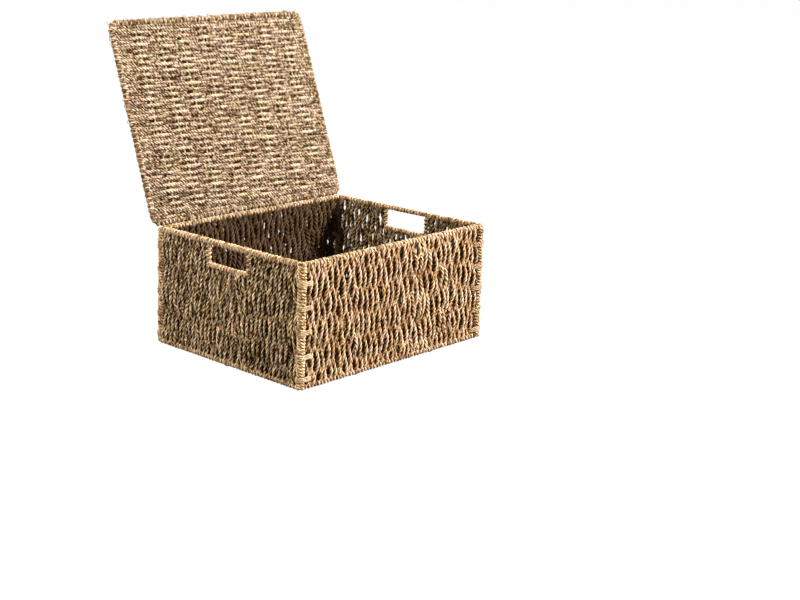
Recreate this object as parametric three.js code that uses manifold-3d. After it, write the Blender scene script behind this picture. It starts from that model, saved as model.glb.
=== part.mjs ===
// A lidded storage box of woven seagrass: flat mats of twisted cord on welded wire frames,
// with wrapped edges, lashed corners, two hand holes and a lid hung on cord loops.
// Millimetres. X runs along the long front wall, the front faces -Y, and Z is up.
// The origin is the middle of the underside of the base.

import * as THREE from 'three';
import { mergeVertices } from 'three/addons/utils/BufferGeometryUtils.js';
import Module from 'manifold-3d';

const wasm = await Module();
wasm.setup();

// Box, measured over the corner posts and the wrapped rim
const BOX_LENGTH = 420;
const BOX_DEPTH = 324;
const BOX_HEIGHT = 194;
const FOOT_LIFT = 2;

// Wire frames inside the panels
const RAIL_WIRE = 4;
const STAKE_WIRE = 3;
const WALL_STAKES = 4;
const LID_STAKES = 8;
const BASE_STAKES = 8;
const POST_TO_EDGE = 14;
const BASE_INSET = 8;
const BASE_CORNER = 8;

// Seagrass wrapped round the wires, as diameters
const POST_WRAP = 11;
const RIM_WRAP = 9;
const FOOT_WRAP = 9;
const LID_WRAP = 10;
const HANDLE_WRAP = 9;

// Woven mats: thickness over the ribs, and the rows of cords that stand proud
const MAT_THICKNESS = 10;
const BASE_THICKNESS = 10;
const RIB_HEIGHT = 1.6;
const LONG_RIB_SPACING = 11.7;
const SIDE_RIB_SPACING = 9.9;
const LID_RIB_SPACING = 9.9;

// Hand holes, clear width between their bound sides
const HANDLE_WIDTH = 80;

// Windings of twine: its thickness, its turns and the gap between them
const LASHING_TWINE = 2.2;
const LASHING_TURNS = 3;
const HINGE_TWINE = 2.4;
const HINGE_TURNS = 2;
const BASE_TWINE = 1.4;
const BASE_TURNS = 2;
const TURN_GAP = 0.5;

// Where the windings sit: above the stakes and the foot, and counted in stake spacings from the middle
const LASHING_RISE = 9;
const LOW_LASHING_RISE = 5;
const BASE_TIE_STAKES = 2;
const HINGE_STAKES = [-3, -1, 1, 3];

// Lid, the axis it turns about, and how far behind and above that axis its rear rail lies when closed:
// the rail shifts in its loose loops, and sinks behind the back rim as the lid opens
const LID_SIDE_OVERHANG = 7;
const LID_FRONT_OVERHANG = 5;
const LID_CORNER = 12;
const LID_OPEN_ANGLE = 110;
const HINGE_BACK = 3;
const HINGE_RISE = 4.2;
const RAIL_BEHIND = 1;
const RAIL_ABOVE = 1.5;

// Gap between pieces that touch
const CLEARANCE = 0.3;

// Distance within which points are one
const WELD = 1e-4;

// Facets round a wire, a stake, a wrap and a twine, and steps along bends and belts
const WIRE_SIDES = 8;
const STAKE_SIDES = 6;
const WRAP_SIDES = 10;
const TWINE_SIDES = 5;
const BEND_STEPS = 3;
const BELT_STEPS = 4;
const TIGHT_BELT_STEPS = 2;
const TIGHT_BELT_RADIUS = 4;

// Places that follow from those sizes
const wallPlaneX = BOX_LENGTH / 2 - POST_WRAP / 2;
const wallPlaneY = BOX_DEPTH / 2 - POST_WRAP / 2;
const topRail = BOX_HEIGHT - RIM_WRAP / 2;
const bottomRail = FOOT_LIFT + FOOT_WRAP / 2;
const stakePitch = (topRail - bottomRail) / (WALL_STAKES + 1);
const stakeHeights = Array.from({ length: WALL_STAKES }, (_, k) => bottomRail + (k + 1) * stakePitch);
const topStake = stakeHeights[WALL_STAKES - 1];
const edgeWire = wallPlaneX - POST_TO_EDGE;
const longRailEnd = wallPlaneX - POST_WRAP / 2 - CLEARANCE;
const handleSide = HANDLE_WIDTH / 2 + HANDLE_WRAP / 2;
const hingeY = BOX_DEPTH / 2 + HINGE_BACK;
const hingeZ = BOX_HEIGHT + HINGE_RISE;
const hingeLean = Math.atan2(hingeZ - topRail, hingeY - wallPlaneY);
const hingeReach = Math.hypot(hingeZ - topRail, hingeY - wallPlaneY);
const railPlay = Math.hypot(RAIL_BEHIND, RAIL_ABOVE);
const lashing = winding(POST_WRAP, RAIL_WIRE, POST_TO_EDGE, LASHING_TWINE, LASHING_TURNS);
const baseTie = winding(FOOT_WRAP, RAIL_WIRE, BASE_INSET, BASE_TWINE, BASE_TURNS);
const hingeTie = winding(RIM_WRAP, LID_WRAP + 2 * railPlay, hingeReach, HINGE_TWINE, HINGE_TURNS);
const matTop = topRail - RIM_WRAP / 2 - CLEARANCE;
const matBottom = bottomRail + baseTie.halfWidth + CLEARANCE;
const lashingHeights = [
  matBottom + LOW_LASHING_RISE,
  ...stakeHeights.map((height) => height + LASHING_RISE),
];
const lidHalfLength = BOX_LENGTH / 2 + LID_SIDE_OVERHANG - LID_WRAP / 2;
const lidSpan = hingeY + RAIL_BEHIND + BOX_DEPTH / 2 + LID_FRONT_OVERHANG - LID_WRAP / 2;
const lidStakePitch = (2 * lidHalfLength) / (LID_STAKES + 1);
const hingePlaces = HINGE_STAKES.map((steps) => steps * lidStakePitch);
const baseHalfLength = wallPlaneX - BASE_INSET;
const baseHalfDepth = wallPlaneY - BASE_INSET;
const baseStakePitch = (2 * baseHalfLength) / (BASE_STAKES + 1);

// Materials
const COLOURS = {
  cord: 0xa98a5c,
  shadedCord: 0x8f7547,
  lidCord: 0xc2a37c,
  wrap: 0xc4a670,
  twine: 0xd8c08e,
  wire: 0xb9a878,
};
const material = (colour, roughness = 0.85, metalness = 0) =>
  new THREE.MeshStandardMaterial({ color: colour, roughness, metalness });
const wireMaterial = () => material(COLOURS.wire, 0.5, 0.4);

// Closed solid of a three.js geometry, ready to be joined and cut
function solid(geometry) {
  geometry.deleteAttribute('normal');
  geometry.deleteAttribute('uv');
  const welded = mergeVertices(geometry, WELD);
  return new wasm.Manifold(new wasm.Mesh({
    numProp: 3,
    vertProperties: new Float32Array(welded.attributes.position.array),
    triVerts: new Uint32Array(welded.index.array),
  }));
}

function join(solids) {
  return solids.reduce((whole, piece) => whole.add(piece));
}

// Named sub-part made from a finished solid
function part(name, body, finish) {
  const { vertProperties, triVerts } = body.getMesh();
  const geometry = new THREE.BufferGeometry();
  geometry.setAttribute('position', new THREE.BufferAttribute(vertProperties, 3));
  geometry.setIndex(new THREE.BufferAttribute(triVerts, 1));
  geometry.computeVertexNormals();
  const mesh = new THREE.Mesh(geometry, finish);
  mesh.name = name;
  return mesh;
}

// Round bar between two points
function bar(from, to, diameter, sides) {
  const start = new THREE.Vector3(...from);
  const end = new THREE.Vector3(...to);
  const direction = end.clone().sub(start);
  const geometry = new THREE.CylinderGeometry(diameter / 2, diameter / 2, direction.length(), sides);
  const turn = new THREE.Quaternion().setFromUnitVectors(
    new THREE.Vector3(0, 1, 0), direction.clone().normalize());
  geometry.applyQuaternion(turn);
  geometry.translate(...start.add(end).multiplyScalar(0.5).toArray());
  return solid(geometry);
}

// Straight wire, grown on every side by the room that a neighbour leaves round it
function wire(from, to, diameter, sides, room) {
  const start = new THREE.Vector3(...from);
  const end = new THREE.Vector3(...to);
  const reach = end.clone().sub(start).setLength(room);
  return bar(start.sub(reach).toArray(), end.add(reach).toArray(), diameter + 2 * room, sides);
}

function box(from, to) {
  const size = to.map((value, axis) => value - from[axis]);
  const geometry = new THREE.BoxGeometry(...size);
  geometry.translate(...from.map((value, axis) => value + size[axis] / 2));
  return solid(geometry);
}

// Solid swept by a section along a path that lies in the XY plane: once round and closed,
// or turn upon turn climbing along Z, with flat ends. Section points are (outwards, along Z).
function sweep(path, section, turns = 1, pitch = 0) {
  const closed = pitch === 0;
  const count = path.length;
  const sides = section.length;
  const stations = closed ? count : turns * count + 1;
  const points = [];
  for (let i = 0; i < stations; i += 1) {
    const point = path[i % count];
    const along = path[(i + 1) % count].clone().sub(path[(i + count - 1) % count]).normalize();
    const lift = pitch * (i / count - turns / 2);
    section.forEach(([out, up]) => {
      points.push(point.x + along.y * out, point.y - along.x * out, up + lift);
    });
  }
  const faces = [];
  const links = closed ? stations : stations - 1;
  for (let i = 0; i < links; i += 1) {
    for (let j = 0; j < sides; j += 1) {
      const next = (i + 1) % stations;
      const a = i * sides + j;
      const b = i * sides + ((j + 1) % sides);
      const c = next * sides + ((j + 1) % sides);
      const d = next * sides + j;
      faces.push(a, d, b, b, d, c);
    }
  }
  const last = (stations - 1) * sides;
  for (let j = 1; !closed && j < sides - 1; j += 1) {
    faces.push(0, j, j + 1, last, last + j + 1, last + j);
  }
  const geometry = new THREE.BufferGeometry();
  geometry.setAttribute('position', new THREE.Float32BufferAttribute(points, 3));
  geometry.setIndex(faces);
  return solid(geometry);
}

function roundSection(diameter, sides) {
  return Array.from({ length: sides }, (_, k) => {
    const angle = (2 * Math.PI * (k + 0.5)) / sides;
    return [(diameter / 2) * Math.cos(angle), (diameter / 2) * Math.sin(angle)];
  });
}

// Twine wound round two bars that lie side by side: the path of one turn, seen along the bars,
// and the room that the winding takes from the axes of the bars
function winding(nearBar, farBar, distance, twine, turns) {
  const stand = CLEARANCE + twine / 2;
  const path = beltPath(nearBar / 2 + stand, farBar / 2 + stand, distance);
  const pitch = twine + TURN_GAP;
  return {
    path,
    twine,
    turns,
    pitch,
    halfWidth: Math.max(...path.map((point) => point.y)) + twine / 2,
    nearReach: twine / 2 - Math.min(...path.map((point) => point.x)),
    farReach: Math.max(...path.map((point) => point.x)) - distance + twine / 2,
    halfLength: (turns * pitch + twine) / 2,
  };
}

// Least gap between points of a winding that are half a turn or more apart
function leastGap({ path, twine, turns, pitch }) {
  const count = path.length;
  const centres = Array.from({ length: turns * count + 1 }, (_, i) =>
    new THREE.Vector3(path[i % count].x, path[i % count].y, (pitch * i) / count));
  const gaps = centres.flatMap((centre, i) =>
    centres.slice(i + Math.ceil(count / 2)).map((other) => centre.distanceTo(other) - twine));
  return Math.min(...gaps);
}

function woundTwine(name, shape) {
  console.log(`${name}: least gap ${leastGap(shape).toFixed(2)} mm`);
  return sweep(shape.path, roundSection(shape.twine, TWINE_SIDES), shape.turns, shape.pitch);
}

// Rounded rectangle, counter-clockwise
function rectanglePath(halfX, halfY, radius) {
  const corners = [[1, -1], [1, 1], [-1, 1], [-1, -1]];
  return corners.flatMap(([sideX, sideY], k) => Array.from({ length: BEND_STEPS + 1 }, (_, j) => {
    const angle = ((k - 1 + j / BEND_STEPS) * Math.PI) / 2;
    return new THREE.Vector2(
      sideX * (halfX - radius) + radius * Math.cos(angle),
      sideY * (halfY - radius) + radius * Math.sin(angle));
  }));
}

// Belt round two circles on the X axis: one at the origin, the other at the given distance.
// Its corners stand off so that its flats clear the circles.
function beltPath(nearRadius, farRadius, distance) {
  const tangent = Math.acos((nearRadius - farRadius) / distance);
  const arc = (centre, radius, start, sweep) => {
    const steps = radius < TIGHT_BELT_RADIUS ? TIGHT_BELT_STEPS : BELT_STEPS;
    const stand = radius / Math.cos(sweep / steps / 2);
    return Array.from({ length: steps + 1 }, (_, k) => {
      const angle = start + (sweep * k) / steps;
      return new THREE.Vector2(centre + stand * Math.cos(angle), stand * Math.sin(angle));
    });
  };
  return [
    ...arc(distance, farRadius, -tangent, 2 * tangent),
    ...arc(0, nearRadius, tangent, 2 * (Math.PI - tangent)),
  ];
}

// Slab of cords lying side by side: ridges run along Z, across X, on one or both faces
function ribbedSlab(width, thickness, spacing, low, high, flatUnder = false) {
  const count = Math.max(2, Math.round(width / spacing));
  const pitch = width / count;
  const shape = new THREE.Shape();
  const valley = thickness / 2 - RIB_HEIGHT;
  shape.moveTo(-width / 2, valley);
  shape.lineTo(-width / 2, flatUnder ? -thickness / 2 : -valley);
  if (!flatUnder) {
    for (let k = 0; k < count; k += 1) {
      shape.lineTo(-width / 2 + (k + 0.5) * pitch, -thickness / 2);
      shape.lineTo(-width / 2 + (k + 1) * pitch, -valley);
    }
  } else {
    shape.lineTo(width / 2, -thickness / 2);
  }
  shape.lineTo(width / 2, valley);
  for (let k = count - 1; k >= 0; k -= 1) {
    shape.lineTo(-width / 2 + (k + 0.5) * pitch, thickness / 2);
    if (k > 0) shape.lineTo(-width / 2 + k * pitch, valley);
  }
  const geometry = new THREE.ExtrudeGeometry(shape, { depth: high - low, bevelEnabled: false });
  geometry.translate(0, 0, low);
  return geometry;
}

// Upright block with rounded corners, to trim a panel's outline
function roundedBlock(halfX, halfY, radius, thickness) {
  const geometry = new THREE.ExtrudeGeometry(new THREE.Shape(rectanglePath(halfX, halfY, radius)),
    { depth: thickness, bevelEnabled: false });
  geometry.translate(0, 0, -thickness / 2);
  return solid(geometry);
}

// Turn a slab whose ridges run along Z so that they run along X and its faces look along Z
function layFlat(geometry) {
  const turn = new THREE.Matrix4().makeBasis(
    new THREE.Vector3(0, 1, 0), new THREE.Vector3(0, 0, 1), new THREE.Vector3(1, 0, 0));
  return geometry.applyMatrix4(turn);
}

// Welded frame of a long wall: two rails, two edge wires, stakes and a middle strut
function longFrame(room = 0) {
  const rails = [bottomRail, topRail].map((z) =>
    wire([-longRailEnd, 0, z], [longRailEnd, 0, z], RAIL_WIRE, WIRE_SIDES, room));
  const edges = [-edgeWire, edgeWire].map((x) =>
    wire([x, 0, bottomRail], [x, 0, topRail], RAIL_WIRE, WIRE_SIDES, room));
  const stakes = stakeHeights.map((z) =>
    wire([-edgeWire, 0, z], [edgeWire, 0, z], STAKE_WIRE, STAKE_SIDES, room));
  const strut = wire([0, 0, bottomRail], [0, 0, topRail], STAKE_WIRE, STAKE_SIDES, room);
  return join([...rails, ...edges, ...stakes, strut]);
}

// Welded frame of a short wall: corner posts, rails, stakes and the sides of the hand hole
function sideFrame(room = 0) {
  const posts = [-wallPlaneY, wallPlaneY].map((x) =>
    wire([x, 0, bottomRail - RAIL_WIRE / 2], [x, 0, topRail + RAIL_WIRE / 2],
      RAIL_WIRE, WIRE_SIDES, room));
  const rails = [bottomRail, topRail].map((z) =>
    wire([-wallPlaneY, 0, z], [wallPlaneY, 0, z], RAIL_WIRE, WIRE_SIDES, room));
  const stakes = stakeHeights.map((z) =>
    wire([-wallPlaneY, 0, z], [wallPlaneY, 0, z], STAKE_WIRE, STAKE_SIDES, room));
  const holeSides = [-handleSide, handleSide].map((x) =>
    wire([x, 0, topStake], [x, 0, topRail], STAKE_WIRE, STAKE_SIDES, room));
  return join([...posts, ...rails, ...stakes, ...holeSides]);
}

// Seagrass wrapped along a rail between two ends
function railWrap(frame, reach, height, diameter) {
  return bar([-reach, 0, height], [reach, 0, height], diameter, WRAP_SIDES).subtract(frame);
}

// Mat of a long wall, threaded on its stakes, with slots where the hinge loops pass
function longMat(frame, slots) {
  const width = 2 * (edgeWire - lashing.farReach - CLEARANCE);
  let mat = solid(ribbedSlab(width, MAT_THICKNESS, LONG_RIB_SPACING, matBottom, matTop));
  const slotHalf = hingeTie.halfLength + CLEARANCE;
  const slotLow = topRail - hingeTie.nearReach - CLEARANCE;
  slots.forEach((x) => {
    mat = mat.subtract(box([x - slotHalf, -MAT_THICKNESS, slotLow],
      [x + slotHalf, MAT_THICKNESS, BOX_HEIGHT]));
  });
  return mat.subtract(frame);
}

// Mat of a short wall, threaded on its stakes, open at the hand hole
function sideMat(frame) {
  const width = 2 * (wallPlaneY - lashing.halfWidth - CLEARANCE);
  const holeHalf = handleSide + HANDLE_WRAP / 2 + CLEARANCE;
  const holeLow = topStake - HANDLE_WRAP / 2 - CLEARANCE;
  const mat = solid(ribbedSlab(width, MAT_THICKNESS, SIDE_RIB_SPACING, matBottom, matTop));
  const hole = box([-holeHalf, -MAT_THICKNESS, holeLow], [holeHalf, MAT_THICKNESS, BOX_HEIGHT]);
  return mat.subtract(hole).subtract(frame);
}

// Binding round the two sides and the sill of a hand hole
function handleBinding(frame) {
  const top = topRail - RIM_WRAP / 2 - CLEARANCE;
  const sides = [-handleSide, handleSide].flatMap((x) => {
    const corner = new THREE.SphereGeometry(HANDLE_WRAP / 2, WRAP_SIDES, WRAP_SIDES / 2);
    corner.rotateX(Math.PI / 2);
    corner.translate(x, 0, topStake);
    return [bar([x, 0, topStake], [x, 0, top], HANDLE_WRAP, WRAP_SIDES), solid(corner)];
  });
  const sill = bar([-handleSide, 0, topStake], [handleSide, 0, topStake], HANDLE_WRAP, WRAP_SIDES);
  return join([sill, ...sides]).subtract(frame);
}

function longWall(name, slots) {
  const wall = new THREE.Group();
  const room = longFrame(CLEARANCE);
  wall.add(
    part(`${name}_frame`, longFrame(), wireMaterial()),
    part(`${name}_mat`, longMat(room, slots), material(COLOURS.cord)),
    part(`${name}_rim_wrap`, railWrap(room, longRailEnd, topRail, RIM_WRAP), material(COLOURS.wrap)),
    part(`${name}_foot_wrap`, railWrap(room, longRailEnd, bottomRail, FOOT_WRAP), material(COLOURS.wrap)),
  );
  return wall;
}

function shortWall(name, postNames) {
  const wall = new THREE.Group();
  const room = sideFrame(CLEARANCE);
  const reach = wallPlaneY - POST_WRAP / 2 - CLEARANCE;
  wall.add(
    part(`${name}_frame`, sideFrame(), wireMaterial()),
    part(`${name}_mat`, sideMat(room), material(COLOURS.shadedCord)),
    part(`${name}_rim_wrap`, railWrap(room, reach, topRail, RIM_WRAP), material(COLOURS.wrap)),
    part(`${name}_foot_wrap`, railWrap(room, reach, bottomRail, FOOT_WRAP), material(COLOURS.wrap)),
    part(`${name}_handle_binding`, handleBinding(room), material(COLOURS.wrap)),
  );
  [-wallPlaneY, wallPlaneY].forEach((x, k) => {
    const post = bar([x, 0, FOOT_LIFT], [x, 0, BOX_HEIGHT], POST_WRAP, WRAP_SIDES).subtract(room);
    wall.add(part(`${postNames[k]}_post_wrap`, post, material(COLOURS.wrap)));
  });
  return wall;
}

// Lashings of one corner: each binds the wrapped post to the edge wire of the long wall
function cornerLashings(name, sideX, sideY) {
  const corner = new THREE.Group();
  const twine = woundTwine(`${name} lashing`, lashing);
  lashingHeights.forEach((height, k) => {
    const tie = part(`${name}_lashing_${k + 1}`, twine, material(COLOURS.twine));
    tie.position.z = height;
    corner.add(tie);
  });
  corner.position.set(sideX * wallPlaneX, sideY * wallPlaneY, 0);
  corner.rotation.z = sideX > 0 ? Math.PI : 0;
  return corner;
}

// Wire rectangle of a flat panel with its stakes across Y
function panelFrame(halfX, halfY, corner, stakes, room = 0) {
  const rim = sweep(rectanglePath(halfX, halfY, corner), roundSection(RAIL_WIRE + 2 * room, WIRE_SIDES));
  const pitch = (2 * halfX) / (stakes + 1);
  const rods = Array.from({ length: stakes }, (_, k) => {
    const x = (k + 1) * pitch - halfX;
    return wire([x, -halfY, 0], [x, halfY, 0], STAKE_WIRE, STAKE_SIDES, room);
  });
  return join([rim, ...rods]);
}

// Base: a mat with a flat underside on the floor, inside the feet of the walls
function base() {
  const group = new THREE.Group();
  const frame = (room) => panelFrame(baseHalfLength, baseHalfDepth, BASE_CORNER, BASE_STAKES, room);
  const edge = baseTie.farReach + CLEARANCE;
  const slab = layFlat(ribbedSlab(2 * (baseHalfDepth - edge), BASE_THICKNESS, LID_RIB_SPACING,
    edge - baseHalfLength, baseHalfLength - edge, true));
  slab.translate(0, 0, BASE_THICKNESS / 2 - bottomRail);
  group.add(
    part('base_frame', frame(0), wireMaterial()),
    part('base_mat', solid(slab).subtract(frame(CLEARANCE)), material(COLOURS.shadedCord)),
  );
  group.position.z = bottomRail;
  return group;
}

// Ties that hang the base from the foot of each wall
function baseTies() {
  const group = new THREE.Group();
  const twine = woundTwine('base tie', baseTie);
  const place = BASE_TIE_STAKES * baseStakePitch;
  const ties = [
    ['front_left', -place, -wallPlaneY, Math.PI / 2],
    ['front_right', place, -wallPlaneY, Math.PI / 2],
    ['back_left', -place, wallPlaneY, -Math.PI / 2],
    ['back_right', place, wallPlaneY, -Math.PI / 2],
    ['left', -wallPlaneX, 0, 0],
    ['right', wallPlaneX, 0, Math.PI],
  ];
  ties.forEach(([name, x, y, turn]) => {
    const holder = new THREE.Group();
    const tie = part(`base_tie_${name}`, twine, material(COLOURS.twine));
    tie.rotation.x = Math.PI / 2;
    holder.rotation.z = turn;
    holder.position.set(x, y, bottomRail);
    holder.add(tie);
    group.add(holder);
  });
  return group;
}

// Loops of wound twine on the back rim, in which the lid's rear rail turns
function hingeLoops() {
  const group = new THREE.Group();
  const twine = woundTwine('hinge loop', hingeTie);
  hingePlaces.forEach((x, k) => {
    const holder = new THREE.Group();
    const cord = part(`hinge_loop_${k + 1}`, twine, material(COLOURS.twine));
    cord.rotation.x = Math.PI / 2;
    const lean = new THREE.Group();
    lean.rotation.y = -hingeLean;
    lean.add(cord);
    holder.rotation.z = Math.PI / 2;
    holder.position.set(x, wallPlaneY, topRail);
    holder.add(lean);
    group.add(holder);
  });
  return group;
}

// Lid, drawn closed with its rear rail beside the X axis, then swung open about it
function lid() {
  const group = new THREE.Group();
  const halfSpan = lidSpan / 2;
  const frame = (room) => panelFrame(lidHalfLength, halfSpan, LID_CORNER, LID_STAKES, room);
  const room = frame(CLEARANCE);
  const rim = sweep(rectanglePath(lidHalfLength, halfSpan, LID_CORNER), roundSection(LID_WRAP, WRAP_SIDES));
  const edge = LID_WRAP / 2 + CLEARANCE;
  let mat = solid(layFlat(ribbedSlab(2 * (halfSpan - edge), MAT_THICKNESS, LID_RIB_SPACING,
    edge - lidHalfLength, lidHalfLength - edge)));
  const outline = roundedBlock(lidHalfLength - edge, halfSpan - edge, LID_CORNER - edge, 2 * MAT_THICKNESS);
  mat = mat.intersect(outline);
  const loopHalf = hingeTie.halfWidth + CLEARANCE;
  const slotDepth = RAIL_BEHIND + (loopHalf + (MAT_THICKNESS / 2) * Math.cos(hingeLean)) / Math.sin(hingeLean);
  const slotHalf = hingeTie.halfLength + 2 * CLEARANCE;
  hingePlaces.forEach((x) => {
    mat = mat.subtract(box([x - slotHalf, halfSpan - slotDepth - CLEARANCE, -MAT_THICKNESS],
      [x + slotHalf, halfSpan, MAT_THICKNESS]));
  });
  const panel = new THREE.Group();
  panel.add(
    part('lid_frame', frame(0), wireMaterial()),
    part('lid_rim_wrap', rim.subtract(room), material(COLOURS.wrap)),
    part('lid_mat', mat.subtract(room), material(COLOURS.lidCord)),
  );
  panel.position.set(0, RAIL_BEHIND - halfSpan, RAIL_ABOVE);
  group.add(panel);
  group.position.set(0, hingeY, hingeZ);
  group.rotation.x = -THREE.MathUtils.degToRad(LID_OPEN_ANGLE);
  return group;
}

function wovenBox() {
  const whole = new THREE.Group();
  const front = longWall('front', []);
  front.position.y = -wallPlaneY;
  const back = longWall('back', hingePlaces);
  back.position.y = wallPlaneY;
  back.rotation.z = Math.PI;
  const left = shortWall('left', ['back_left', 'front_left']);
  left.position.x = -wallPlaneX;
  left.rotation.z = -Math.PI / 2;
  const right = shortWall('right', ['front_right', 'back_right']);
  right.position.x = wallPlaneX;
  right.rotation.z = Math.PI / 2;
  whole.add(front, back, left, right, base(), baseTies(), hingeLoops(), lid());
  [['front_left', -1, -1], ['front_right', 1, -1], ['back_left', -1, 1], ['back_right', 1, 1]]
    .forEach(([name, sideX, sideY]) => whole.add(cornerLashings(name, sideX, sideY)));
  return whole;
}

export default wovenBox();
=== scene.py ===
"""A lidded box of woven seagrass, standing open: twisted cords woven over wire stakes, wound edges,
lashed corners, bound hand holes and a lid hung on loops of twine. Metres, +Z up, front towards -Y."""

import math

import bpy
import numpy as np
from mathutils import Matrix, Vector


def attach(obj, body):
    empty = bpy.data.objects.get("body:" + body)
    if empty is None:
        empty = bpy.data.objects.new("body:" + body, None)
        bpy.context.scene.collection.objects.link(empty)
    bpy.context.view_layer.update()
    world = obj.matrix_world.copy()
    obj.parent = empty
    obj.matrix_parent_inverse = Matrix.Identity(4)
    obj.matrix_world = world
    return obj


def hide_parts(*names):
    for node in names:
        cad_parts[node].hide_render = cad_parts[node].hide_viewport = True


SEED = 41

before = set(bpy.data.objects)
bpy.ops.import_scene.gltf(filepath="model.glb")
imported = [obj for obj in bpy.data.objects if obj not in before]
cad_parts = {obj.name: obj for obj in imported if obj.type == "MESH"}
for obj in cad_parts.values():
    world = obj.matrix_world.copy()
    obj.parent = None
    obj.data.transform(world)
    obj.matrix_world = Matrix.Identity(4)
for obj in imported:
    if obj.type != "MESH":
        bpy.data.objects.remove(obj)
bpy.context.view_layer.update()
random = np.random.default_rng(SEED)

ACROSS = np.array([1.0, 0.0, 0.0])
FORWARD = np.array([0.0, -1.0, 0.0])
UP = np.array([0.0, 0.0, 1.0])

# Sizes that the frame was built with
BOX_LENGTH = 0.420
BOX_DEPTH = 0.324
BOX_HEIGHT = 0.194
FOOT_LIFT = 0.002
RAIL_RADIUS = 0.002
POST_RADIUS = 0.0055
RIM_RADIUS = 0.0045
LID_RADIUS = 0.005
LASHED_EDGE_RADIUS = 0.0042
WALL_STAKES = 4
PANEL_STAKES = 8
POST_TO_EDGE = 0.014
BASE_INSET = 0.008
HANDLE_SIDE = 0.0445
HANDLE_CORNER = 0.004
LID_CORNER = 0.012
LID_OPEN = math.radians(110)
LID_SIDE_OVERHANG = 0.007
LID_FRONT_OVERHANG = 0.005
HINGE_BACK = 0.003
HINGE_RISE = 0.0042
RAIL_FROM_HINGE = np.array([0.0, 0.001, 0.0015])
LASHING_RISE = 0.009
LOW_LASHING_RISE = 0.012

# Places that follow from them
WALL_X = BOX_LENGTH / 2 - POST_RADIUS
WALL_Y = BOX_DEPTH / 2 - POST_RADIUS
TOP_RAIL = BOX_HEIGHT - RIM_RADIUS
BOTTOM_RAIL = FOOT_LIFT + RIM_RADIUS
STAKE_PITCH = (TOP_RAIL - BOTTOM_RAIL) / (WALL_STAKES + 1)
TOP_STAKE = TOP_RAIL - STAKE_PITCH
BASE_HALF_X = WALL_X - BASE_INSET
BASE_HALF_Y = WALL_Y - BASE_INSET
BASE_STAKE_PITCH = 2 * BASE_HALF_X / (PANEL_STAKES + 1)
HINGE = np.array([0.0, BOX_DEPTH / 2 + HINGE_BACK, BOX_HEIGHT + HINGE_RISE])
LID_HALF_X = BOX_LENGTH / 2 + LID_SIDE_OVERHANG - LID_RADIUS
LID_SPAN = HINGE[1] + RAIL_FROM_HINGE[1] + BOX_DEPTH / 2 + LID_FRONT_OVERHANG - LID_RADIUS
LID_STAKE_PITCH = 2 * LID_HALF_X / (PANEL_STAKES + 1)
LASHING_HEIGHTS = [BOTTOM_RAIL + LOW_LASHING_RISE]
LASHING_HEIGHTS += [BOTTOM_RAIL + k * STAKE_PITCH + LASHING_RISE for k in range(1, WALL_STAKES + 1)]

# Turn about Z and middle of each wall, and the corners with their sides in X and Y
WALL_PLACES = {
    "front": (0, (0, -WALL_Y, 0)),
    "back": (math.pi, (0, WALL_Y, 0)),
    "left": (-math.pi / 2, (-WALL_X, 0, 0)),
    "right": (math.pi / 2, (WALL_X, 0, 0)),
}
CORNERS = (("front_left", -1, -1), ("front_right", 1, -1), ("back_left", -1, 1), ("back_right", 1, 1))
NEAR_CORNER = "front_left"

# Twisted cord: a lay is the length of one full twist
STRANDS = 3
STRAND_OFFSET = 0.46  # distance of a strand's centre from the axis, as a share of the cord's radius
CORD_SIDES = 12
FINE_SIDES = 9
WALL_LAY = 0.0220
FLAT_LAY = 0.0185
WINDING_LAY = 0.0180
LEFT_TWISTED = 0.12  # share of wall cords that are twisted the other way
THICKNESS_SPREAD = 0.05
CORD_STEP = 0.0022
TONE_PATCH = 0.012
GRAIN_SHIFT = 5.0  # length of pattern in which each cord's grain starts somewhere

# Weave: swing is how far cords leave the plane of the stakes, sway how far they lean sideways there, wander
# how far they stray, looseness how much the wave grows and shrinks, and slip how far it slides along a cord
WALL_END_FADE = 0.014
WALL_SWING = 0.0034
WALL_LOOSENESS = 0.45
WALL_SLIP = 0.0075
WALL_SHARPNESS = 0
FRONT_SWAY = 0.0012
BACK_SWAY = 0.0012
LEFT_SWAY = -0.0003
RIGHT_SWAY = -0.0012
FRONT_WANDER = 0.0007
BACK_WANDER = 0.0003
LEFT_WANDER = 0.0002
RIGHT_WANDER = 0.0004
FLAT_END_FADE = 0.026
FLAT_SWAY = -0.0004
FLAT_LOOSENESS = 0.4
FLAT_SLIP = 0.003
FLAT_SHARPNESS = 1.2
LID_SWING = 0.0030
LID_WANDER = 0.00015
BASE_SWING = 0.0020
BASE_WANDER = 0.0002
BEAT_STAKES = 2.7  # length of the loosening and tightening, in stake pitches
WANDER_LENGTH = 0.09
CALM_EDGE = 0.022
CALM_SHARE = 0.25

# Cords: thickness, pitch and the room that a mat fills
LONG_PITCH = 0.00585
SIDE_PITCH = 0.00495
FLAT_PITCH = 0.00505
FRONT_CORD = 0.0076
BACK_CORD = 0.0096
LEFT_CORD = 0.0058
RIGHT_CORD = 0.0072
LID_CORD_DIAMETER = 0.0073
BASE_CORD_DIAMETER = 0.0070
LONG_MAT_INSET = 0.0092
SIDE_MAT_INSET = 0.0042
LID_MAT_INSET = 0.0045
BASE_MAT_REACH_X = 0.004
BASE_MAT_REACH_Y = 0.0025
LONG_MAT_HALF = WALL_X - LONG_MAT_INSET
SIDE_MAT_HALF = WALL_Y - SIDE_MAT_INSET
LID_MAT_HALF = LID_SPAN / 2 - LID_MAT_INSET
BASE_MAT_HALF_X = BASE_HALF_X + BASE_MAT_REACH_X
BASE_MAT_HALF_Y = BASE_HALF_Y + BASE_MAT_REACH_Y
HOLE_HALF = 0.049
RIM_TUCK = 0.001
SILL_TUCK = 0.0005

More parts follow.
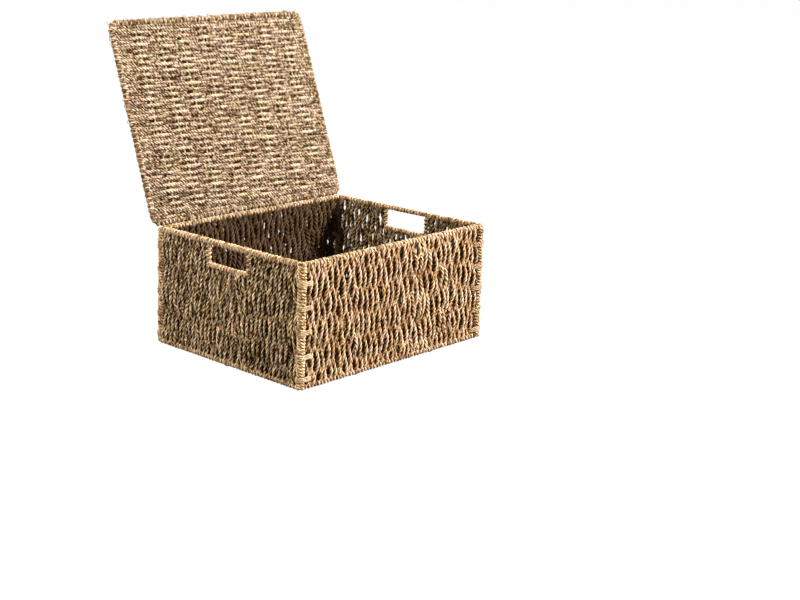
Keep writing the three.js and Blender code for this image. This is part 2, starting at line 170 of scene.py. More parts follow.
# Painted shade: how much of it the crowns of lower cords are spared, where a wall's cords turn to the inside
# and start to get it, what share of it the right wall's inside gets, and how a wound strand darkens towards
# its core
WALL_CROWN_SHARE = 0.25
FLAT_CROWN_SHARE = 0.0
INSIDE_START = 0.3
INSIDE_SLOPE = 1.6
RIGHT_INSIDE_SHADE = 0.5
TURN_DEPTH = 0.5
TURN_SLOPE = 0.6

# Wound edges: strand, pitch and how far the turns stand proud of the frame's wraps, and the bundle below with
# its painted shade
TURN_STEPS = 14
TURN_SLACK = 0.05
BUNDLE_DEPTH = 0.0016
BUNDLE_LAY = 0.050
BUNDLE_RECESS_SHADE = 0.8
RIM_STRAND = 0.0056
RIM_PITCH = 0.0068
RIM_SWELL = 0.0007
LID_RIM_STRAND = 0.0070
LID_RIM_PITCH = 0.0082
LID_RIM_SWELL = 0.0010
POST_STRAND = 0.0054
POST_PITCH = 0.0049
POST_SWELL = 0.0018
ARC_POINTS = 9
LID_EDGE_POINTS = 400
HANDLE_BEND_POINTS = 7

# Twine: thickness, lay and number of turns
BELT_ARC_POINTS = 17
BELT_STEPS = 28
TURN_CLIMB = 1.08  # rise of one turn, in thicknesses of the twine
LASHING_TWINE = 0.0024
LASHING_LAY = 0.008
LASHING_TURNS = 3
LOOP_TWINE = 0.0026
LOOP_LAY = 0.009
LOOP_TURNS = 2
LOOP_STAKES = (-3, -1, 1, 3)
TIE_TWINE = 0.0016
TIE_LAY = 0.004
TIE_TURNS = 2
TIE_STAKES = 2
TIE_SIDES = 6

# Loose ends of grass
FIBRE_DIAMETER = 0.0009
FIBRE_LENGTH = (0.007, 0.018)
FIBRE_LIFT = (0.001, 0.004)
FIBRE_LAY = 1.0
FIBRE_SIDES = 3
FIBRE_POINTS = 6
FIBRE_SPREAD = 0.45
WALL_FIBRES = 140
WALL_FIBRE_OUT = 0.0055
WALL_FIBRE_FOOT_GAP = 0.02
WALL_FIBRE_TOP_GAP = 0.012
LID_FIBRES = 160
LID_FIBRE_OUT = 0.0048
LID_FIBRE_MARGIN = 0.04
EDGE_FIBRES = 90
EDGE_FIBRE_ROOT = 0.9  # distance of a root from the lid's rail, as a share of the rim's radius
EDGE_FIBRE_RISE = 0.3
EDGE_FIBRE_PLACES = 600
FREE_EDGE_GAP = 0.05
SIDE_EDGE_REACH = 0.002

# Grass: periods of the fine fibres and of the broad blades per strand and per metre, its olive tint and the
# painted shade of the box's inside
FIBRE_GRAIN = (3.0, 190.0, 1.0)
BLADE_GRAIN = (1.1, 125.0, 1.0)
SHADE_START = -2.0
OLIVE = (0.95, 0.97, 0.86, 1)
INSIDE_PAINTED_SHADE = (0.14, 0.12, 0.10, 1)

# Camera of the photograph, solved on the outline of the open box: degrees, metres and pixels
CAMERA_AZIMUTH = -43.4115
CAMERA_ELEVATION = 11.6747
CAMERA_ROLL = 0.8172
CAMERA_DISTANCE = 2.3287045
CAMERA_SLIDE = (0.1142313, -0.2213060)
FOCAL_PIXELS = 1428.348
PRINCIPAL_POINT = (250, 205)
IMAGE_SIZE = (800, 600)
SENSOR = 36.0
CLIP_END = 50

# Studio: name, place, target, size, power in watts and colour of each light, then the floor and the rest
LIGHTS = (
    ("key", (1.6, -2.4, 2.0), (0, 0, 0.2), 0.6, 385, (1, 0.98, 0.96)),
    ("fill", (-2.0, 0.5, 1.9), (0, 0, 0.15), 0.4, 105, (1, 0.94, 0.80)),
    ("behind", (1.3, 2.6, 1.5), (0, 0.1, 0.25), 1.0, 120, (1, 0.98, 0.95)),
)
WHITE = (1, 1, 1, 1)
SURROUNDINGS = 0.09
FLOOR_HALF = 40.0
FLOOR_GREY = (0.30, 0.30, 0.30, 1)
FLOOR_GLOW = 1.07
FLOOR_GLOW_SHARE = 0.92


# Geometry

def unit(vectors):
    """Vectors divided by their lengths."""
    return vectors / np.linalg.norm(vectors, axis=-1, keepdims=True)


def strand_outline(sides):
    """Angles and radii of the outline of a cord of radius 1 laid from equal round strands:
    radius = d cos b + sqrt((1 - d)^2 - d^2 sin^2 b), where d is the distance of a strand's centre from
    the axis and b the angle from the middle of the nearest strand."""
    angle = np.arange(sides) * 2 * np.pi / sides
    half = np.pi / STRANDS
    nearest = (angle + half) % (2 * half) - half
    inner = (1 - STRAND_OFFSET) ** 2 - (STRAND_OFFSET * np.sin(nearest)) ** 2
    return angle, STRAND_OFFSET * np.cos(nearest) + np.sqrt(inner)


def path_length(centre):
    """Distance along each path from its first station."""
    step = np.linalg.norm(np.diff(centre, axis=1), axis=-1)
    return np.concatenate([np.zeros((len(centre), 1)), np.cumsum(step, axis=1)], axis=1)


def twisted_cords(centre, outward, diameter, lay, sides=CORD_SIDES, left_share=0.0):
    """Rings of twisted cords along paths. A ring is the outline of the strands in the plane across the
    path, turned by 2 pi length / lay, so that the strands climb as a right-hand screw, or as a left-hand
    one in the given share of the cords. Each cord is a little thicker or thinner than the diameter.
    centre and outward are (cords, stations, 3), the result is (cords, stations, sides, 3)."""
    cords = len(centre)
    tangent = unit(np.gradient(centre, axis=1))
    side = unit(np.cross(tangent, outward))
    out = np.cross(side, tangent)
    angle, radius = strand_outline(sides)
    start = random.uniform(0, np.pi, (cords, 1))
    hand = np.where(random.random((cords, 1)) < left_share, -1, 1)
    turn = (hand * 2 * np.pi * path_length(centre) / lay + start)[..., None] + angle
    across = np.cos(turn)[..., None] * out[:, :, None] + np.sin(turn)[..., None] * side[:, :, None]
    thickness = diameter / 2 * (1 + THICKNESS_SPREAD * random.standard_normal((cords, 1, 1, 1)))
    return centre[:, :, None] + thickness * radius[:, None] * across


def patchy_tone(length):
    """A tone from 0 to 1 that changes along each tube: half belongs to the tube, half is drawn anew at
    every patch and runs straight from one patch to the next."""
    tubes = len(length)
    place = length / TONE_PATCH
    patch = place.astype(int)
    drawn = random.uniform(0, 1, (tubes, patch.max() + 2))
    own = random.uniform(0, 1, (tubes, 1))
    row = np.arange(tubes)[:, None]
    share = place - patch
    return (own + drawn[row, patch] * (1 - share) + drawn[row, patch + 1] * share) / 2


def tube_faces(tubes, stations, sides):
    """Corners and first corners of the faces of tubes: quads along each tube and a cap at either end."""
    index = np.arange(tubes * stations * sides).reshape(tubes, stations, sides)
    near = index[:, :-1]
    far = index[:, 1:]
    quads = np.stack([near, np.roll(near, -1, 2), np.roll(far, -1, 2), far], -1).reshape(-1, 4)
    caps = np.concatenate([index[:, 0, ::-1], index[:, -1]])
    corners = np.concatenate([quads.ravel(), caps.ravel()])
    starts = np.concatenate([np.arange(len(quads)) * 4, quads.size + np.arange(len(caps)) * sides])
    return corners, starts


def tube_grain(length, sides):
    """UV map of tubes at their faces' corners: strands counted round the tube in u, metres along it in v,
    and zero on the caps."""
    tubes, stations = length.shape
    around = np.arange(sides + 1) / sides * STRANDS
    u = np.broadcast_to(around, (tubes, stations, sides + 1))
    v = np.broadcast_to(length[..., None], u.shape)
    grid = np.stack([u, v], -1)
    quads = np.stack([grid[:, :-1, :-1], grid[:, :-1, 1:], grid[:, 1:, 1:], grid[:, 1:, :-1]], -2)
    return np.concatenate([quads.reshape(-1, 2), np.zeros((2 * tubes * sides, 2))])


def tube_mesh(name, rings, recess_shade, finish, body, replaced=(), inside=None):
    """One piece made of many tubes with capped ends: rings is (tubes, stations, sides, 3).
    Its tone changes along a tube; the painted shade of the hollows is 0 where the surface stands proud and 1
    where it lies deep between its neighbours, and the painted shade of the inside is at most 1 where it faces
    into the box."""
    tubes, stations, sides, _ = rings.shape
    corners, starts = tube_faces(tubes, stations, sides)
    mesh = bpy.data.meshes.new(name)
    mesh.vertices.add(tubes * stations * sides)
    mesh.vertices.foreach_set("co", rings.astype(np.float32).ravel())
    mesh.loops.add(len(corners))
    mesh.loops.foreach_set("vertex_index", corners.astype(np.int32))
    mesh.polygons.add(len(starts))
    mesh.polygons.foreach_set("loop_start", starts.astype(np.int32))
    mesh.polygons.foreach_set("use_smooth", np.ones(len(starts), bool))
    mesh.update(calc_edges=True)

    run = path_length(rings.mean(axis=2))
    grain = tube_grain(run + random.uniform(0, GRAIN_SHIFT, (tubes, 1)), sides)
    layer = mesh.uv_layers.new(name="UVMap")
    layer.data.foreach_set("uv", grain.astype(np.float32).ravel())
    tone = np.broadcast_to(patchy_tone(run)[..., None], recess_shade.shape)
    inside = np.zeros(recess_shade.shape) if inside is None else inside
    # Attributes for the material: the tone, and the painted shade of the hollows and of the inside
    for attribute, values in (("tone", tone), ("recess_shade", recess_shade), ("inside", inside)):
        data = mesh.attributes.new(attribute, "FLOAT", "POINT").data
        data.foreach_set("value", values.astype(np.float32).ravel())

    mesh.validate()
    mesh.materials.append(finish)
    piece = bpy.data.objects.new(name, mesh)
    bpy.context.scene.collection.objects.link(piece)
    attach(piece, body)
    if replaced:
        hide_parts(*replaced)


def facing_out(rings, centre, outward):
    """How far a cord's surface faces outward: its distance from the centre line along the outward
    direction, and the same from -1 to 1 as a share of the greatest."""
    offset = np.einsum("trsk,trk->trs", rings - centre[:, :, None], outward)
    return offset, offset / np.max(np.abs(offset))


def painted_recess_shade(rings, centre, outward, out, top, crown_share):
    """Painted shade by how deep a surface lies: 1 - |f| (c + (1 - c) sign(f) h / top), where h is its height
    from the middle plane, f, from -1 to 1, says how far it faces outward, and c is the crown share. Crowns of
    the cords that lie on top give 0, sides of cords give 1, and crowns of the cords below lie near 1."""
    offset, facing = facing_out(rings, centre, outward)
    height = np.sign(facing) * (out[..., None] + offset) / top
    return np.clip(1 - np.abs(facing) * (crown_share + (1 - crown_share) * height), 0, 1)


def inward_share(rings, centre, outward):
    """0 where a wall's surface faces outward, rising straight to 1 where it faces into the box."""
    _, facing = facing_out(rings, centre, outward)
    return np.clip(INSIDE_START - INSIDE_SLOPE * facing, 0, 1)


def strand_core_shade(rings, centre, outward):
    """Painted shade of a wound strand: 0 on its outer side, rising straight to 1 on the side against the
    core.
    """
    _, facing = facing_out(rings, centre, outward)
    return np.clip(TURN_DEPTH - TURN_SLOPE * facing, 0, 1)


def turned(points, angle, place=(0, 0, 0)):
    """Points turned about Z and moved to a place."""
    cos, sin = math.cos(angle), math.sin(angle)
    spin = np.array([[cos, -sin, 0], [sin, cos, 0], [0, 0, 1]])
    return points @ spin.T + np.asarray(place)


def tilted(points, axes):
    """Points whose X, Y and Z become the three given directions."""
    return points @ np.asarray(axes, float)


def swung(directions):
    """Directions on the closed lid, swung open."""
    cos, sin = math.cos(-LID_OPEN), math.sin(-LID_OPEN)
    swing = np.array([[1, 0, 0], [0, cos, -sin], [0, sin, cos]])
    return directions @ swing.T


def opened(points):
    """Points of the closed lid, given from its rear rail, swung open about the hinge."""
    return swung(points + RAIL_FROM_HINGE) + HINGE


def resampled(line, steps):
    """A broken line divided into equal steps by its length."""
    length = np.concatenate([[0], np.cumsum(np.linalg.norm(np.diff(line, axis=0), axis=1))])
    share = np.linspace(0, length[-1], steps)
    return np.stack([np.interp(share, length, line[:, axis]) for axis in range(line.shape[1])], -1)


def rounded_rectangle(half_x, half_y, radius, steps):
    """Points along a rounded rectangle, evenly spaced, starting at the middle of its right side."""
    quarter = np.linspace(0, np.pi / 2, ARC_POINTS)
    arcs = []
    for k, (sx, sy) in enumerate([(1, 1), (-1, 1), (-1, -1), (1, -1)]):
        angle = quarter + k * np.pi / 2
        arcs.append(np.stack([sx * (half_x - radius) + radius * np.cos(angle),
                              sy * (half_y - radius) + radius * np.sin(angle)], -1))
    start = np.array([[half_x, 0.0]])
    return resampled(np.concatenate([start, *arcs, start]), steps)


# Woven cords

def fade(distance, reach):
    """0 on an edge, rising smoothly to 1 at the given reach: s^2 (3 - 2 s), where s is the share of it."""
    share = np.clip(distance / reach, 0, 1)
    return share * share * (3 - 2 * share)


def calmed(distance, reach):
    """Share of a wave that is left near an edge: CALM_SHARE on it, all of it at the given reach."""
    return CALM_SHARE + (1 - CALM_SHARE) * fade(distance, reach)


def side_by_side(half_width, pitch):
    """Places of cords that fill a width evenly, at about the given pitch."""
    count = int(round(2 * half_width / pitch))
    return (np.arange(count) + 0.5) / count * 2 * half_width - half_width


def woven_paths(places, low, high, first_stake, pitch, end_fade, sway, swing, wander, looseness, slip,
                sharpness):
    """Centre lines of cords woven over stakes. Each cord runs from low to high at its place. At t it leaves
    the plane by swing times the wave c |c|^sharpness, where c is cos(pi (t - first stake) / pitch), and it
    moves sideways by sway times the same wave, with the sign changing from one cord to the next.
    The wave calms towards both ends. Cords wander sideways, and each is a little loose: its wave grows
    and shrinks along it and slips along the cord.
    Returns (sideways, out of plane, along), each (cords, stations)."""
    count = len(places)
    share = np.linspace(0, 1, int(np.max(high - low) / CORD_STEP))
    low = np.broadcast_to(low, (count,))[:, None]
    high = np.broadcast_to(high, (count,))[:, None]
    along = low + (high - low) * share
    sign = np.where(np.arange(count) % 2 == 0, 1.0, -1.0)[:, None]
    shift = random.normal(0, slip, (count, 1))
    cosine = np.cos(np.pi * (along - first_stake + shift) / pitch)
    wave = sign * cosine * np.abs(cosine) ** sharpness
    wave = wave * calmed(np.minimum(along - low, high - along), end_fade)
    beat = np.sin(2 * np.pi * (along / (BEAT_STAKES * pitch) + random.uniform(0, 1, (count, 1))))
    loose = 1 + looseness * random.uniform(-1, 1, (count, 1)) * beat
    drift = wander * random.standard_normal((count, 1))
    drift = drift + wander * np.sin(2 * np.pi * (along / WANDER_LENGTH + random.uniform(0, 1, (count, 1))))
    sideways = places[:, None] + sway * loose * wave + drift
    return sideways, swing * loose * wave, along


def wall_cords(name, half_width, pitch, diameter, sway, wander, finish, hole=0.0, inside_shade=1.0):
    """Upright cords of one wall, side by side; those under a hand hole end at its sill."""
    angle, place = WALL_PLACES[name]
    places = side_by_side(half_width, pitch)
    high = np.where(np.abs(places) < hole, TOP_STAKE - SILL_TUCK, TOP_RAIL - RIM_TUCK)
    sideways, out, along = woven_paths(
        places, BOTTOM_RAIL, high, BOTTOM_RAIL, STAKE_PITCH, WALL_END_FADE, sway, WALL_SWING, wander,
        WALL_LOOSENESS, WALL_SLIP, WALL_SHARPNESS)
    centre = turned(np.stack([sideways, -out, along], -1), angle, place)
    outward = np.broadcast_to(turned(FORWARD, angle), centre.shape)
    rings = twisted_cords(centre, outward, diameter, WALL_LAY, left_share=LEFT_TWISTED)
    # Painted shade in the hollows of the weave and on the side facing into the box
    recess_shade = painted_recess_shade(rings, centre, outward, out, WALL_SWING + diameter / 2, WALL_CROWN_SHARE)
    inside = inside_shade * inward_share(rings, centre, outward)
    tube_mesh(f"{name}_cords", rings, recess_shade, finish, "box", [f"{name}_mat"], inside)


def flat_cords(half_y, half_x, stake_pitch, swing, wander):
    """Cords of a flat panel, running along X and woven over stakes that run along Y. They lie flatter near
    the panel's edges, where it rests on a rim or a foot. Returns centre lines and heights."""
    places = side_by_side(half_y, FLAT_PITCH)
    sideways, out, along = woven_paths(
        places, -half_x, half_x, -half_x, stake_pitch, FLAT_END_FADE, FLAT_SWAY, swing, wander,
        FLAT_LOOSENESS, FLAT_SLIP, FLAT_SHARPNESS)
    out = out * calmed(half_y - np.abs(places), CALM_EDGE)[:, None]
    return np.stack([along, sideways, out], -1), out


# Wound edges

def wound_path(core, normal, radius, turns, hand):
    """Helix round a core line: core + radius (cos f n + sin f b), with f = 2 pi turns share, where n is
    the given normal across the line and b is the third direction; a hand of -1 winds it the other way.
    The radius wavers a little. Returns centre lines and outward directions, both (1, stations, 3)."""
    stations = int(turns * TURN_STEPS)
    line = resampled(core, stations)
    tangent = unit(np.gradient(line, axis=0))
    third = unit(np.cross(tangent, normal))
    across = np.cross(third, tangent)
    angle = 2 * np.pi * turns * np.linspace(0, 1, stations)[:, None]
    slack = np.interp(angle / (2 * np.pi), np.arange(turns + 1), random.normal(1, TURN_SLACK, turns + 1))
    outward = np.cos(angle) * across + hand * np.sin(angle) * third
    return (line + radius * slack * outward)[None], outward[None]


def winding(name, core, normal, strand, radius, pitch, finish, body, replaced, hand=1):
    """Strand of cord wound round a core line at the given pitch, out to the given radius, over a straight
    bundle of grass that fills the wrap below its turns."""
    length = np.linalg.norm(np.diff(core, axis=0), axis=1).sum()
    centre, outward = wound_path(core, normal, radius - strand / 2, round(length / pitch), hand)
    turns = twisted_cords(centre, outward, strand, WINDING_LAY, FINE_SIDES)
    line = resampled(core, centre.shape[1])[None]
    across = np.broadcast_to(normal, line.shape)
    bundle = twisted_cords(line, across, 2 * (radius - BUNDLE_DEPTH), BUNDLE_LAY, FINE_SIDES)
    # Painted shade: deeper towards the core of each turn, and even over the bundle
    recess_shade = np.concatenate([strand_core_shade(turns, centre, outward), np.full(bundle.shape[:3], BUNDLE_RECESS_SHADE)])
    tube_mesh(name, np.concatenate([turns, bundle]), recess_shade, finish, body, replaced)


def straight(start, end):
    """A core line between two points."""
    return np.array([start, end], float)


# Twine

def belt(near_radius, far_radius, distance, steps):
    """Closed line round two circles, one at the origin and one at the distance along X: two arcs and the
    straight runs that touch both, divided evenly."""
    tangent = math.acos((near_radius - far_radius) / distance)
    far = np.linspace(-tangent, tangent, BELT_ARC_POINTS)
    near = np.linspace(tangent, 2 * np.pi - tangent, BELT_ARC_POINTS)
    line = np.concatenate([
        np.stack([distance + far_radius * np.cos(far), far_radius * np.sin(far)], -1),
        np.stack([near_radius * np.cos(near), near_radius * np.sin(near)], -1),
    ])
    return resampled(np.concatenate([line, line[:1]]), steps + 1)[:-1]


def wound_belt(near_radius, far_radius, distance, twine, turns):
    """Twine wound round two bars: the belt repeated turn upon turn, climbing along Z by a little more than
    its thickness. Returns the centre line and the outward directions, (stations, 3)."""
    flat = belt(near_radius + twine / 2, far_radius + twine / 2, distance, BELT_STEPS)
    step = np.arange(turns * BELT_STEPS + 1)
    point = flat[step % BELT_STEPS]
    along = unit(np.roll(flat, -1, 0) - np.roll(flat, 1, 0))[step % BELT_STEPS]
    height = (step / BELT_STEPS - turns / 2) * twine * TURN_CLIMB
    centre = np.column_stack([point, height])
    outward = np.column_stack([along[:, 1], -along[:, 0], np.zeros(len(step))])
    return centre, outward


def twine_turns(name, lines, outward, twine, lay, sides, finish, nodes):
    """One piece made of several windings of twine on the box."""
    rings = twisted_cords(lines, outward, twine, lay, sides)
    # Painted shade, deeper towards the core of each turn
    tube_mesh(name, rings, strand_core_shade(rings, lines, outward), finish, "box", nodes)


# Materials

def plug(tree, value, socket):
    """Links an output to a socket, or sets the socket to a constant."""
    if isinstance(value, bpy.types.NodeSocket):
        tree.links.new(value, socket)
    else:
        socket.default_value = value


def math_node(tree, operation, *values):
    """One step of arithmetic on outputs or constants."""
    node = tree.nodes.new("ShaderNodeMath")
    node.operation = operation
    for value, socket in zip(values, node.inputs):
        plug(tree, value, socket)
    return node.outputs[0]


def stretched(tree, vector, stretch):
    """A vector multiplied part by part."""
    node = tree.nodes.new("ShaderNodeVectorMath")
    node.operation = "MULTIPLY"
    node.inputs[1].default_value = stretch
    tree.links.new(vector, node.inputs[0])
    return node.outputs[0]


def noise_node(tree, vector, detail, scale=1.0, dimensions="3D"):
    """Soft random pattern from 0 to 1."""
    node = tree.nodes.new("ShaderNodeTexNoise")
    node.noise_dimensions = dimensions
    node.inputs["Scale"].default_value = scale
    node.inputs["Detail"].default_value = detail
    tree.links.new(vector, node.inputs["Vector"])
    return node.outputs["Fac"]


def range_node(tree, value, start, end, low=0.0, high=1.0):
    """Runs straight from low where the value is start to high where it is end, and stays level beyond."""
    node = tree.nodes.new("ShaderNodeMapRange")
    for name, number in (("From Min", start), ("From Max", end), ("To Min", low), ("To Max", high)):
        node.inputs[name].default_value = number
    tree.links.new(value, node.inputs["Value"])
    return node.outputs["Result"]


def mix_node(tree, factor, first, second, blend="MIX"):
    """First colour mixed with the second, or multiplied by it, to the share that the factor gives."""
    node = tree.nodes.new("ShaderNodeMix")
    node.data_type = "RGBA"
    node.blend_type = blend
    for name, value in (("Factor", factor), ("A", first), ("B", second)):
        plug(tree, value, node.inputs[name])
    return node.outputs["Result"]


def attribute_node(tree, name):
    """A value that the mesh carries at its points."""
    node = tree.nodes.new("ShaderNodeAttribute")
    node.attribute_name = name
    return node.outputs["Fac"]


def seagrass_group():
    """Dry grass: fibres run along each strand, each cord has a tone of its own, stains drift over the whole
    weave and some patches are olive. Grooves, hollows and the inside of the box get painted shade.
    Puts out colour, roughness and height."""
    group = bpy.data.node_groups.new("seagrass", "ShaderNodeTree")
    for name in ("Pale", "Middle", "Dark", "Groove Shade", "Hollow Shade"):
        group.interface.new_socket(name, in_out="INPUT", socket_type="NodeSocketColor")
    for name, kind in (("Color", "NodeSocketColor"), ("Roughness", "NodeSocketFloat"),
                       ("Height", "NodeSocketFloat")):
        group.interface.new_socket(name, in_out="OUTPUT", socket_type=kind)
    given = group.nodes.new("NodeGroupInput")
    result = group.nodes.new("NodeGroupOutput")

    uv = group.nodes.new("ShaderNodeUVMap")
    uv.uv_map = "UVMap"
    grain = uv.outputs["UV"]
    place = group.nodes.new("ShaderNodeTexCoord").outputs["Object"]
    fibre = noise_node(group, stretched(group, grain, FIBRE_GRAIN), detail=3.0, dimensions="2D")
    blade = noise_node(group, stretched(group, grain, BLADE_GRAIN), detail=2.0, dimensions="2D")
    stain = noise_node(group, place, detail=2.0, scale=34.0)
    spot = noise_node(group, place, detail=1.0, scale=190.0)
    patch = noise_node(group, place, detail=2.0, scale=30.0)
    tone = attribute_node(group, "tone")

    # Tone: the patterns are added with a weight each, and run from dark over middle to pale
    shade = SHADE_START
    for pattern, weight in ((fibre, 1.6), (blade, 2.4), (stain, 0.6), (tone, 0.5)):
        shade = math_node(group, "MULTIPLY_ADD", pattern, weight, shade)
    middling = range_node(group, shade, start=0.12, end=0.5)
    colour = mix_node(group, middling, given.outputs["Dark"], given.outputs["Middle"])
    palest = range_node(group, shade, start=0.45, end=0.85)
    colour = mix_node(group, palest, colour, given.outputs["Pale"])

    # Painted shade in the grooves between the strands: dark where |cos(pi u)| is small
    split = group.nodes.new("ShaderNodeSeparateXYZ")
    group.links.new(grain, split.inputs[0])
    wave = math_node(group, "COSINE", math_node(group, "MULTIPLY", split.outputs["X"], math.pi))
    groove_shade = range_node(group, math_node(group, "ABSOLUTE", wave), start=0.0, end=0.8, low=1.0, high=0.0)
    colour = mix_node(group, groove_shade, colour, given.outputs["Groove Shade"], "MULTIPLY")

    # Painted shade in the hollows of the weave, broken up into spots
    broken = range_node(group, spot, start=0.36, end=0.58, low=0.45, high=1.3)
    depth = math_node(group, "POWER", attribute_node(group, "recess_shade"), 1.5)
    hollow_shade = math_node(group, "MULTIPLY", depth, broken)
    colour = mix_node(group, hollow_shade, colour, given.outputs["Hollow Shade"], "MULTIPLY")

    # Olive patches, and painted shade on the inside of the box
    green = range_node(group, patch, start=0.45, end=0.62)
    colour = mix_node(group, green, colour, OLIVE, "MULTIPLY")
    colour = mix_node(group, attribute_node(group, "inside"), colour, INSIDE_PAINTED_SHADE, "MULTIPLY")

    group.links.new(colour, result.inputs["Color"])
    roughness = range_node(group, fibre, start=0.0, end=1.0, low=0.92, high=0.62)
    group.links.new(roughness, result.inputs["Roughness"])
    height = math_node(group, "MULTIPLY_ADD", blade, 0.8, fibre)
    group.links.new(height, result.inputs["Height"])
    return group


SEAGRASS = seagrass_group()


def new_finish(name, specular):
    """A material with a plain shader: returns the material, its tree and the shader's inputs."""
    finish = bpy.data.materials.new(name)
    finish.use_nodes = True
    surface = finish.node_tree.nodes["Principled BSDF"].inputs
    surface["Specular IOR Level"].default_value = specular
    return finish, finish.node_tree, surface


def seagrass(name, pale, middle, dark, groove_shade=(0.15, 0.06, 0.010), hollow_shade=(0.24, 0.12, 0.03)):
    """Cord or twine of dry grass in three tones, with the colours of the painted shade in its grooves and
    hollows.
    """
    finish, tree, surface = new_finish(name, specular=0.06)
    grass = tree.nodes.new("ShaderNodeGroup")
    grass.node_tree = SEAGRASS
    tones = (("Pale", pale), ("Middle", middle), ("Dark", dark), ("Groove Shade", groove_shade), ("Hollow Shade", hollow_shade))
    for tone, colour in tones:
        grass.inputs[tone].default_value = (*colour, 1)
    bump = tree.nodes.new("ShaderNodeBump")
    bump.inputs["Strength"].default_value = 0.5
    bump.inputs["Distance"].default_value = 0.0004
    tree.links.new(grass.outputs["Height"], bump.inputs["Height"])
    tree.links.new(grass.outputs["Color"], surface["Base Color"])
    tree.links.new(grass.outputs["Roughness"], surface["Roughness"])
    tree.links.new(bump.outputs["Normal"], surface["Normal"])
    return finish


def coated_wire(name, dull, bright):
    """Coat on the frame wire, scuffed in patches."""
    finish, tree, surface = new_finish(name, specular=0.15)
    place = tree.nodes.new("ShaderNodeTexCoord").outputs["Object"]
    scuff = noise_node(tree, place, detail=4.0, scale=90.0)
    tree.links.new(mix_node(tree, scuff, (*dull, 1), (*bright, 1)), surface["Base Color"])
    roughness = range_node(tree, scuff, start=0.0, end=1.0, low=0.75, high=0.5)
    tree.links.new(roughness, surface["Roughness"])
    return finish


# The groove and hollow colours of each cord are painted shade
WALL_CORD = seagrass("wall_cord", (0.69, 0.545, 0.395), (0.64, 0.445, 0.265), (0.32, 0.155, 0.038),
                     hollow_shade=(0.25, 0.11, 0.018))
# Copy of the wall cord for the side walls, with brighter pales and darker tones, grooves and hollows: painted
# light and shade where the soft fill gives little
SIDE_CORD_PAINTED_CONTRAST = seagrass("side_cord_painted_contrast", (0.88, 0.70, 0.52), (0.50, 0.33, 0.165), (0.11, 0.05, 0.010),
                     groove_shade=(0.09, 0.035, 0.006), hollow_shade=(0.05, 0.022, 0.004))
LID_CORD = seagrass("lid_cord", (0.82, 0.655, 0.49), (0.70, 0.505, 0.33), (0.14, 0.064, 0.017),
                    hollow_shade=(0.07, 0.031, 0.008))
RIM_CORD = seagrass("rim_cord", (0.66, 0.50, 0.345), (0.43, 0.28, 0.16), (0.13, 0.06, 0.020))
LID_RIM_CORD = seagrass("lid_rim_cord", (0.58, 0.455, 0.33), (0.33, 0.23, 0.14), (0.09, 0.05, 0.022))
EDGE_WRAP = seagrass("edge_wrap", (0.74, 0.57, 0.37), (0.54, 0.36, 0.19), (0.16, 0.085, 0.03),
                     groove_shade=(0.22, 0.13, 0.06), hollow_shade=(0.4, 0.28, 0.16))
TWINE = seagrass("twine", (0.78, 0.62, 0.43), (0.58, 0.42, 0.25), (0.30, 0.18, 0.08))
# Nearly black wire: painted shade for the box's frames, which lie deep in the gaps between cords
WIRE_IN_PAINTED_SHADE = coated_wire("wire_in_painted_shade", (0.025, 0.014, 0.006), (0.07, 0.045, 0.02))
STRAW_WIRE = coated_wire("straw_wire", (0.36, 0.28, 0.17), (0.58, 0.47, 0.32))


# Pieces

def walls():
    """Cords of the four walls."""
    wall_cords("front", LONG_MAT_HALF, LONG_PITCH, FRONT_CORD, FRONT_SWAY, FRONT_WANDER, WALL_CORD)
    wall_cords("back", LONG_MAT_HALF, LONG_PITCH, BACK_CORD, BACK_SWAY, BACK_WANDER, WALL_CORD)
    wall_cords("left", SIDE_MAT_HALF, SIDE_PITCH, LEFT_CORD, LEFT_SWAY, LEFT_WANDER, SIDE_CORD_PAINTED_CONTRAST, HOLE_HALF)
    wall_cords("right", SIDE_MAT_HALF, SIDE_PITCH, RIGHT_CORD, RIGHT_SWAY, RIGHT_WANDER, SIDE_CORD_PAINTED_CONTRAST, HOLE_HALF,
               RIGHT_INSIDE_SHADE)


def lid_cords():
    """Cords of the lid, as a front half and a rear half."""
    centre, out = flat_cords(LID_MAT_HALF, LID_HALF_X, LID_STAKE_PITCH, LID_SWING, LID_WANDER)
    centre = opened(centre + np.array([0, -LID_SPAN / 2, 0]))
    outward = np.broadcast_to(swung(UP), centre.shape)
    rings = twisted_cords(centre, outward, LID_CORD_DIAMETER, FLAT_LAY)
    # Painted shade in the hollows of the weave
    recess_shade = painted_recess_shade(rings, centre, outward, out, LID_SWING + LID_CORD_DIAMETER / 2, FLAT_CROWN_SHARE)
    half = len(rings) // 2
    for name, share in (("front", slice(None, half)), ("rear", slice(half, None))):
        tube_mesh(f"lid_cords_{name}", rings[share], recess_shade[share], LID_CORD, "lid",
                  ["lid_mat"])


def base_cords():
    """Cords of the base, between the feet of the walls."""
    centre, out = flat_cords(BASE_MAT_HALF_Y, BASE_MAT_HALF_X, BASE_STAKE_PITCH, BASE_SWING, BASE_WANDER)
    centre = centre + BOTTOM_RAIL * UP
    outward = np.broadcast_to(UP, centre.shape)
    rings = twisted_cords(centre, outward, BASE_CORD_DIAMETER, FLAT_LAY, FINE_SIDES)
    # Painted shade in the hollows of the weave
    recess_shade = painted_recess_shade(rings, centre, outward, out, BASE_SWING + BASE_CORD_DIAMETER / 2, FLAT_CROWN_SHARE)
    tube_mesh("base_cords", rings, recess_shade, WALL_CORD, "box", ["base_mat"])


